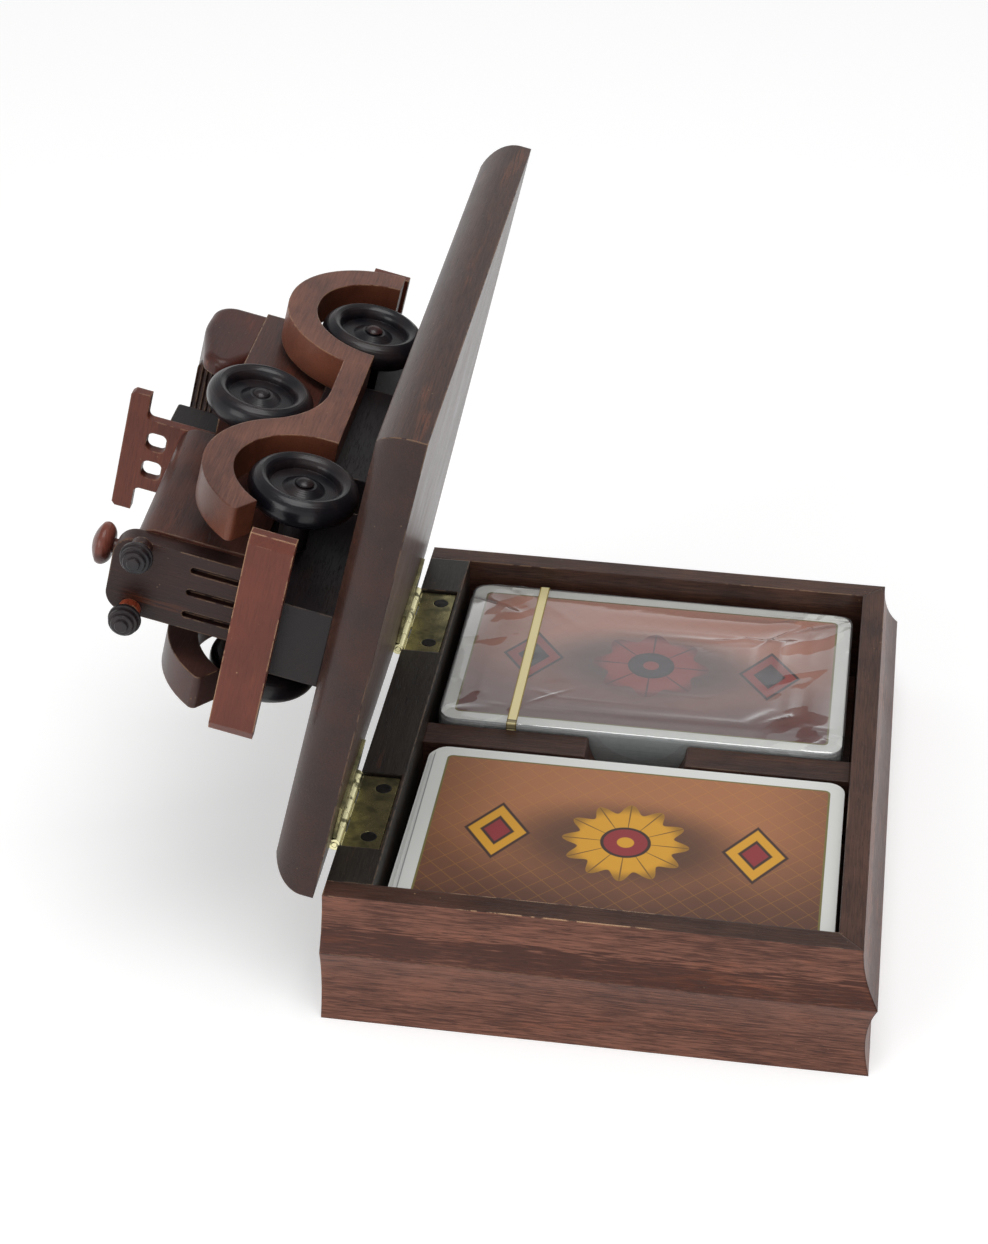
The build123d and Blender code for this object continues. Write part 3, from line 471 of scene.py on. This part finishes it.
def card_back(name, centre, turn, ground, dusk, petals, heart, shade, fold):
    """A printed back: a white rim, a thin gold line and a clouded panel with a lattice, a medallion of
    fold petals and a lozenge on each side of it. The panel darkens towards its lower edge, partly as
    print and partly as painted shadow. A grey line along one short edge is a painted shadow where the
    card's slid edge stands over the cards below. All of it is written as formulas of the distances in
    millimetres from the card's centre."""
    material, tree = new_material(name)
    place = node(tree, "TexCoord").outputs["Object"]
    x, y, _ = xyz(measured(place, (millimetre,) * 3, (0, 0, turn), (*centre, 0)))
    side, height = x.math("ABSOLUTE"), y.math("ABSOLUTE")
    half_length, half_width = 500 * card_length, 500 * card_width  # in millimetres

    def inside(margin, radius):
        """1 within a rounded rectangle that is margin smaller than the card all round."""
        over_x = (side - (half_length - margin - radius)).math("MAXIMUM", 0.0)
        over_y = (height - (half_width - margin - radius)).math("MAXIMUM", 0.0)
        return ((over_x * over_x + over_y * over_y).math("SQRT") - radius).falling(-0.06, 0.06)

    def lattice(diagonal):
        """1 on the lines where a diagonal distance is a whole number of pitches."""
        return (diagonal / lattice_pitch).math("PINGPONG", 0.5).falling(0.012, 0.03)

    grain = noise(place, 60.0, 4.0)
    # darker towards the lower edge: partly the print's own shading, partly painted shadow of the front rail
    panel = blended((y + (grain - 0.5) * 14.0).rising(-26.0, 10.0), dusk, ground)
    panel = blended(side.rising(22.0, 46.0) * 0.45, panel, dusk)
    panel = blended(lattice(x + y).math("MAXIMUM", lattice(x - y)) * 0.22, panel, petals)

    radius = (x * x + y * y).math("SQRT")
    angle = y.math("ARCTAN2", x)
    oval = (x * x / 900.0 + y * y / 260.0).math("SQRT")
    panel = blended(oval.falling(0.45, 1.05) * 0.75, panel, shade)
    wave = (angle * float(fold)).math("COSINE")
    flower = (radius - wave * petal_swing).falling(medallion_radius, medallion_radius + 0.3)
    panel = blended(flower, panel, petals)
    veins = (angle * (fold / 2.0)).math("SINE").math("ABSOLUTE").falling(0.05, 0.14)
    panel = blended(flower * (veins * 0.75).math("MAXIMUM", radius.rising(9.4, 12.6) * 0.55), panel, shade)
    for reach, colour in ((5.2, shade), (4.5, heart), (1.7, petals)):
        panel = blended(radius.falling(reach, reach + 0.2), panel, colour)
    lozenge = (side - lozenge_place).math("ABSOLUTE") / lozenge_half_length + height / lozenge_half_width
    for reach, colour in ((1.0, shade), (0.88, petals), (0.52, shade), (0.40, heart)):
        panel = blended(lozenge.falling(reach - 0.03, reach + 0.03), panel, colour)

    # a grey line along the card's left short edge: painted shadow of the slid card's edge
    painted_edge_shadow = (x + half_length).falling(0.12, 0.34)
    colour = blended(painted_edge_shadow * 0.8, card_paper, darker(paper_edge, 0.35))
    colour = blended(inside(rim_width, rim_corner), colour, gold_line)
    colour = blended(inside(rim_width + rim_line, panel_corner), colour, panel)
    linen = noise(place, 1400.0, 3.0)
    bump = node(tree, "Bump", {"Height": linen, "Strength": 0.15, "Distance": paper_relief})
    sockets = {"Base Color": colour, "Roughness": grain * 0.2 + 0.28, "Normal": bump.outputs[0]}
    show(tree, node(tree, "BsdfPrincipled", sockets))
    return material


# How far each packet slid and turned: the top card, the two packets under it, and the rest. Then how
# far a single card may lie from its packet.
packet_slide = np.array([0.0, 0.00085, 0.00160, 0.00165])
packet_turn = np.array([0.0, -0.0060, -0.0120, -0.0110])
top_card, upper_packet, lower_packet = cards_in_deck - 1, 50, 45  # the lowest card of each, from 0
slide_play, side_play, turn_play = 0.00014, 0.00012, 0.0012

deck_low, deck_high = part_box("open_deck")
chance = np.random.default_rng(11)
number = np.arange(cards_in_deck)
packet = np.select([number >= top_card, number >= upper_packet, number >= lower_packet], [0, 1, 2], 3)
play = np.where(number < top_card, chance.uniform(-slide_play, slide_play, cards_in_deck), 0.0)
slide = packet_slide[packet] + play
centres = np.stack([
    deck_high.x - card_length / 2 - slide,
    deck_low.y + card_width / 2 + slide / 4 + chance.uniform(0.0, side_play, cards_in_deck),
], axis=1)
turns = packet_turn[packet] + chance.uniform(-turn_play, turn_play, cards_in_deck)
stock = paper_stock("card_stock")
open_print = card_back(
    "open_deck_print", centres[-1], turns[-1],
    ground=(0.43, 0.180, 0.082), dusk=(0.125, 0.055, 0.036),
    petals=(0.72, 0.36, 0.035), heart=(0.30, 0.040, 0.045), shade=(0.060, 0.032, 0.026), fold=12)
open_cards = stack_of_cards("open_deck_cards", centres, turns, deck_low.z, (stock, open_print))
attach(open_cards, "open_deck")
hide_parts("open_deck")

# --- the sealed deck ---
# A second deck, squared up as it came from the maker, in cellophane that is drawn tight over its
# faces and crumpled where it is folded and sealed at the ends. A gold tear tape runs round it.

squared_play = 0.00003  # how far a card of a squared deck may lie from the middle

deck_low, deck_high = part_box("wrapped_deck")
middle = np.array([(deck_low.x + deck_high.x) / 2, (deck_low.y + deck_high.y) / 2])
centres = middle + chance.uniform(-squared_play, squared_play, (cards_in_deck, 2))
turns = np.zeros(cards_in_deck)
sealed_print = card_back(
    "sealed_deck_print", middle, 0.0,
    ground=(0.560, 0.280, 0.200), dusk=(0.155, 0.062, 0.056),
    petals=(0.360, 0.070, 0.060), heart=(0.050, 0.035, 0.045), shade=(0.035, 0.022, 0.026), fold=8)
sealed_cards = stack_of_cards("sealed_deck_cards", centres, turns, deck_low.z, (stock, sealed_print))
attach(sealed_cards, "sealed_deck")
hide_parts("wrapped_deck")

film_low, film_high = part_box("cellophane_wrap")
tape_low, tape_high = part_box("tear_strip")
tape_middle = (tape_low.x + tape_high.x) / 2
film_fold = 0.0007  # radius of the film where it goes over the deck's edge
film_dip = -0.00018  # the lowest the film goes, on the top card
squareness = 26  # power of the superellipse that keeps the deck's short round corners
ring_points = 480
top_rings, fold_rings, wall_rings, bottom_rings = 60, 5, 12, 20
pole = 0.001  # share of the outline at which the rings stop, before the middle
ripples, ripple_height = 57, 0.00009  # round the walls

# Narrow creases and broad swells: how many, and the range of each one's length, width and rise.
creases, swells = 70, 26
crease_length, crease_width, crease_rise = (0.0025, 0.0100), (0.00025, 0.0006), (-0.00020, 0.00045)
swell_length, swell_width, swell_rise = (0.0040, 0.0100), (0.0010, 0.0024), (0.00010, 0.00080)
end_shares = [0.25, 0.75]  # of them at the hinges' end and at the opening side's
end_shape, end_scale = 1.7, 0.0062  # of the gamma spread of their distances from that end
crease_reach = 0.026  # how far from the deck's long middle line they lie
mean_lean, lean_spread = 0.35, 0.60  # radians
held_flat, set_free = 0.0015, 0.0040  # how far from the tape's middle, and over what further distance


def crumple(x, y):
    """Height of the film's folds over the deck. Each is a ridge whose height falls off as a bell curve
    across it and along it. They crowd at the two ends, and the tear tape holds the film flat beside
    it."""
    count = creases + swells
    broad = np.arange(count) >= creases

    def drawn(swell_range, crease_range):
        """A random size for each, from the range of its kind."""
        return np.where(broad, chance.uniform(*swell_range, count), chance.uniform(*crease_range, count))

    end = chance.choice([-1.0, 1.0], count, p=end_shares)
    span = (film_high.x - film_low.x) / 2
    ridge_x = (end * (span - chance.gamma(end_shape, end_scale, count)))[:, None, None]
    ridge_y = chance.uniform(-crease_reach, crease_reach, count)[:, None, None]
    lean = (end * mean_lean + chance.normal(0.0, lean_spread, count))[:, None, None]
    length = drawn(swell_length, crease_length)[:, None, None]
    width = drawn(swell_width, crease_width)[:, None, None]
    rise = drawn(swell_rise, crease_rise)[:, None, None]
    run = (x - ridge_x) * np.cos(lean) + (y - ridge_y) * np.sin(lean)
    off = (y - ridge_y) * np.cos(lean) - (x - ridge_x) * np.sin(lean)
    shape = np.exp(-((run / length) ** 2) - (off / width) ** 2)
    from_tape = np.abs(x + middle[0] - tape_middle)
    free = np.clip((from_tape - held_flat) / set_free, 0, 1)
    return np.maximum((rise * shape).sum(axis=0), film_dip) * free


def film_surface():
    """The film as a closed skin. Rings shrink from the deck's outline, a superellipse, to a point at the
    middle of the top and of the bottom, the rim between them is a quarter circle, and the walls drop
    straight. The creases lift the top, and a fine ripple runs round the walls: a sine of the angle
    times a sine of the depth."""
    quarter = np.linspace(0, math.pi / 2, ring_points // 4, endpoint=False)
    angles = np.concatenate([quarter + turn * math.pi / 2 for turn in range(4)])
    half_x, half_y = (film_high.x - film_low.x) / 2, (film_high.y - film_low.y) / 2
    power = 2 / squareness
    ring_x = half_x * np.sign(np.cos(angles)) * np.abs(np.cos(angles)) ** power
    ring_y = half_y * np.sign(np.sin(angles)) * np.abs(np.sin(angles)) ** power
    bend = np.linspace(0, math.pi / 2, fold_rings + 1)[1:]
    walls = np.linspace(0, 1, wall_rings + 2)[1:-1]
    drop = film_high.z - film_low.z
    inset = np.concatenate([
        np.full(top_rings, film_fold),
        film_fold * (1 - np.sin(bend)),
        np.zeros(wall_rings),
        film_fold * (1 - np.cos(bend)),
        np.full(bottom_rings, film_fold),
    ])
    depth = np.concatenate([
        np.zeros(top_rings),
        film_fold * (1 - np.cos(bend)),
        film_fold + walls * (drop - 2 * film_fold),
        drop - film_fold + film_fold * np.sin(bend),
        np.full(bottom_rings, drop),
    ])
    scale = np.concatenate([
        np.linspace(pole, 1, top_rings),
        np.ones(2 * fold_rings + wall_rings),
        np.linspace(1, pole, bottom_rings),
    ])
    x = scale[:, None] * ring_x * (1 - inset[:, None] / half_x)
    y = scale[:, None] * ring_y * (1 - inset[:, None] / half_y)
    z = film_high.z - depth[:, None] + 0 * x
    top = (np.arange(len(scale)) < top_rings + fold_rings)[:, None]
    z = z + top * crumple(x, y)
    ripple = ripple_height * np.sin(angles * ripples) * np.sin(depth[:, None] / drop * math.pi)
    x, y = x + ripple * np.cos(angles), y + ripple * np.sin(angles)
    return np.stack([x + middle[0], y + middle[1], z], axis=2)


def skin(name, grid, material):
    """A closed mesh from a grid of points whose rows are rings, with a fan at each end. Rows run away
    from the top and points run anticlockwise, so that the faces look outwards."""
    rows, points = grid.shape[:2]
    poles = np.stack([grid[0].mean(axis=0), grid[-1].mean(axis=0)])
    vertices = np.concatenate([grid.reshape(-1, 3), poles])
    ring = np.arange(points)
    after = (ring + 1) % points
    start = points * np.arange(rows - 1)[:, None]
    quads = np.stack([start + ring, start + points + ring, start + points + after, start + after], axis=2)
    first, last = rows * points, rows * points + 1
    end = points * (rows - 1)
    top = np.stack([ring, after, np.full(points, first)], axis=1)
    bottom = np.stack([end + after, end + ring, np.full(points, last)], axis=1)
    mesh = bpy.data.meshes.new(name)
    mesh.from_pydata(vertices.tolist(), [], quads.reshape(-1, 4).tolist() + top.tolist() + bottom.tolist())
    mesh.materials.append(material)
    mesh.shade_smooth()
    return placed(name, mesh)


dab_size, dab_turn = (0.011, 0.0045, 0.01), (0, 0, 0.7)  # of the patches near the ends where the film's haze and reflection are taken away
film_material, tree = new_material("cellophane")
place = node(tree, "TexCoord").outputs["Object"]
bump = node(tree, "Bump", {"Height": noise(place, 110.0, 2.0), "Strength": 0.30, "Distance": 0.0004})
mirrored = Field(node(tree, "Fresnel", {"IOR": 1.50, "Normal": bump.outputs[0]}).outputs[0])
dabs = noise(measured(place, dab_size, dab_turn), 1.0, 1.0)
from_middle = (xyz(place)[0] - middle[0]).math("ABSOLUTE")
clear_patches = dabs.rising(0.57, 0.60) * from_middle.rising(0.024, 0.032)  # there the film's haze and reflection are taken away
show(tree, node(tree, "BsdfPrincipled", {
    "Base Color": (0.97, 0.97, 0.98),
    "Metallic": 0.80,
    "Roughness": 0.07,
    "Alpha": ((mirrored * 3.1 + 0.06) * (clear_patches * -0.7 + 1.0)).math("MINIMUM", 0.9),
    "Normal": bump.outputs[0],
}))
film = skin("cellophane_film", film_surface(), film_material)
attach(film, "sealed_deck")
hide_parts("cellophane_wrap")

tape_gold, tape_border, tape_shadow = (0.97, 0.85, 0.46), (0.38, 0.27, 0.05), (0.050, 0.030, 0.010)
# Along the tape, from where it turns down: where the painted shade of the fold starts,
# where it deepens, and where it stops.
fold_shade_start, fold_core_start, fold_shade_end = (0.00030, 0.00042), (0.00120, 0.00135), (0.00150, 0.00165)
tape_material, tree = new_material("gold_tape")
place = node(tree, "TexCoord").outputs["Object"]
tape_x, tape_y, tape_z = xyz(place)
from_middle = (tape_x - tape_middle).math("ABSOLUTE")
printed_edge = (from_middle * (2 / (tape_high.x - tape_low.x))).rising(0.78, 0.84)
dent = noise(place, 300.0, 2.0)
gold = blended(printed_edge, tape_gold, tape_border)
from_fold = tape_y - tape_low.y + (tape_z - tape_high.z) * -1.0
fold_shade = from_fold.rising(*fold_shade_start) * from_fold.falling(*fold_shade_end)
fold_shade_core = from_fold.rising(*fold_core_start) * from_fold.falling(*fold_shade_end)
# painted shade where the tape bends down over the deck's end
gold = blended(fold_shade * 0.70 + fold_shade_core * 0.25, gold, tape_shadow)
bump = node(tree, "Bump", {"Height": dent, "Strength": 0.3, "Distance": 0.0001})
show(tree, node(tree, "BsdfPrincipled", {
    "Base Color": gold,
    "Metallic": 0.10,
    "Roughness": dent * 0.2 + 0.22,
    "Normal": bump.outputs[0],
}))
coat(tape_material, "tear_strip")

# --- the lid ---
# One board, planed flat inside and worked to a thumbnail edge all round, stained darker than the
# case. It is held open by the hinges, a little short of upright.

open_angle = math.radians(max(abs(limit) for limit in hinge["range_deg"]))
lid_along = Vector((math.cos(open_angle), 0, math.sin(open_angle)))
lid_out = Vector((-math.sin(open_angle), 0, math.cos(open_angle)))
lid_pale, lid_deep = (0.070, 0.030, 0.020), (0.028, 0.011, 0.008)
lid_end_red = (0.046, 0.010, 0.004)
lid_end = (-along, 0.35, 0.80, lid_end_red)
coat(timber("lid_wood", along, lid_pale, lid_deep, seed=7, wear=0.35, gloss=0.2, second=lid_end), "lid_panel")

# --- the car: chassis, hood, radiator, body, folded top and seat ---
# Blocks of the same wood glued up on a black chassis, which is doweled to the lid. The hood's
# shoulders are rounded, and three slots are sawn up the radiator.

car_pale, car_deep = (0.088, 0.027, 0.018), (0.026, 0.009, 0.006)
black_pale, black_deep = (0.014, 0.009, 0.010), (0.006, 0.004, 0.005)
hood_pale, hood_deep = (0.046, 0.017, 0.013), (0.015, 0.006, 0.005)
top_pale, top_deep = (0.085, 0.020, 0.013), (0.026, 0.007, 0.005)

black_wood = timber(
    "chassis_black", along, black_pale, black_deep, seed=8, wear=0.1, gloss=0.0, figure=0.4, glow=0.04)
coat(black_wood, "chassis", "axle_spacers", "dashboard")
coat(timber("hood_wood", along, car_pale, car_deep, seed=10, wear=0.2, gloss=0.15, figure=0.5), "engine_hood")
radiator_wood = timber(
    "radiator_wood", lid_out, hood_pale, hood_deep, seed=11, wear=0.25, gloss=0.0, figure=0.4)
coat(radiator_wood, "radiator")
coat(timber("body_wood", along, car_pale, car_deep, seed=12, gloss=0.2, figure=0.6), "car_body", "lid_dowels")
top_wood = timber(
    "top_wood", along, top_pale, top_deep, seed=13, wear=0.3, gloss=0.15, figure=0.4, glow=0.7)
coat(top_wood, "folded_top")
coat(timber("seat_wood", lid_out, hood_pale, hood_deep, seed=14, wear=0.3, gloss=0.3, figure=0.4), "seat")

# --- the car: fenders, bumpers, windscreen and lamp pegs ---
# Boards fretted out with a saw and sanded. The fenders' sawn edges took the stain across the fibres,
# so the left one's edges are redder than its face; the right one's darker edges are painted shade.
# One lamp's peg is bright red.

fender_pale, fender_deep = (0.240, 0.098, 0.064), (0.074, 0.028, 0.020)
red_pale, red_deep = (0.165, 0.040, 0.022), (0.095, 0.021, 0.012)
bright_stem_pale, bright_stem_deep = (0.420, 0.085, 0.035), (0.220, 0.035, 0.015)

fenders = (
    ("left", lid_along, (0.215, 0.062, 0.030)),
    # the right fender's edge colour is painted shade, darker than its stain
    ("right", -lid_along, (0.062, 0.026, 0.022)),
)
for seed, (side, outwards, edge_stain_and_shade) in enumerate(fenders, start=15):
    edges = (outwards, 0.75, 0.35, edge_stain_and_shade)
    fender_wood = timber(
        side + "_fender_wood", along, fender_pale, fender_deep, seed, wear=0.4, figure=0.5, second=edges)
    coat(fender_wood, side + "_fender")
bumper_wood = timber("bumper_wood", lid_along, red_pale, red_deep, seed=17, wear=0.8, figure=0.35)
coat(bumper_wood, "front_bumper", "rear_bumper")
coat(timber("windscreen_wood", lid_along, red_pale, red_deep, seed=18, wear=0.3, figure=0.4), "windscreen")
coat(timber("left_stem_wood", along, hood_pale, hood_deep, seed=19), "left_headlamp_stem")
bright_stem_wood = timber("right_stem_wood", along, bright_stem_pale, bright_stem_deep, seed=20)
coat(bright_stem_wood, "right_headlamp_stem")

# --- the car: turned pieces ---
# Wheels, lamps, pegs and the radiator cap come off a lathe, which leaves fine rings, and are dipped
# in black lacquer that goes reddish where it is thin. One button was left red, and the cap is only
# stained.

wheel_pale, wheel_deep = (0.022, 0.014, 0.015), (0.006, 0.006, 0.009)
button_red = (0.110, 0.032, 0.024)
cap_pale, cap_deep = (0.210, 0.062, 0.042), (0.075, 0.020, 0.014)
tool_marks = 15000.0  # radians of their wave to a metre of radius: a ring every 0.42 mm
turned_arris, turned_depth = 0.00035, 0.00012


def turned(name, part, axis, pale, deep, seed):
    """Lacquered turned wood. The rings are a sine of the distance from the axis through the part's
    middle, broken up by noise, and the colour is thinnest, so palest, on the patches of another."""
    material, tree = new_material(name)
    low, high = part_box(part)
    place = node(tree, "TexCoord").outputs["Object"]
    from_hub = node(tree, "VectorMath", {0: place, 1: (low + high) / 2}, operation="SUBTRACT").outputs[0]
    crossed = node(tree, "VectorMath", {0: from_hub, 1: axis}, operation="CROSS_PRODUCT").outputs[0]
    radius = Field(node(tree, "VectorMath", {0: crossed}, operation="LENGTH").outputs["Value"])
    moved = node(tree, "Mapping", {"Vector": place, "Location": (seed, seed, seed)}).outputs[0]
    patch, crackle = noise(moved, 160.0, 5.0), noise(moved, 1300.0, 2.0)
    rings = (radius * tool_marks + patch * 5.0).math("SINE") * patch
    colour = blended(patch.rising(0.42, 0.70), deep, pale)
    eased = node(tree, "Bevel", {"Radius": turned_arris}, samples=4).outputs[0]
    relief = rings * 0.35 + patch * 1.2 + crackle * 0.6
    bump = node(tree, "Bump", {"Height": relief, "Normal": eased, "Strength": 0.40, "Distance": turned_depth})
    show(tree, node(tree, "BsdfPrincipled", {
        "Base Color": colour,
        "Roughness": patch * 0.25 + 0.20,
        "Specular IOR Level": 0.30,
        "Normal": bump.outputs[0],
        "Coat Weight": 0.20,
        "Coat Roughness": 0.14,
    }))
    return material


axle_ends = [f"{end}_{side}" for end in ("front", "rear") for side in ("left", "right")]
wheels_and_pegs = ["spare_wheel", "spare_wheel_peg"]
wheels_and_pegs += [f"{axle_end}_{part}" for axle_end in axle_ends for part in ("wheel", "axle_peg")]
for seed, part in enumerate(wheels_and_pegs):
    pale = button_red if part == "rear_left_axle_peg" else wheel_pale
    coat(turned(part + "_lacquer", part, lid_along, pale, wheel_deep, seed), part)
for seed, part in enumerate(("left_headlamp", "right_headlamp"), start=20):
    coat(turned(part + "_lacquer", part, along, wheel_pale, wheel_deep, seed), part)
coat(turned("cap_stain", "radiator_cap", lid_out, cap_pale, cap_deep, seed=30), "radiator_cap")
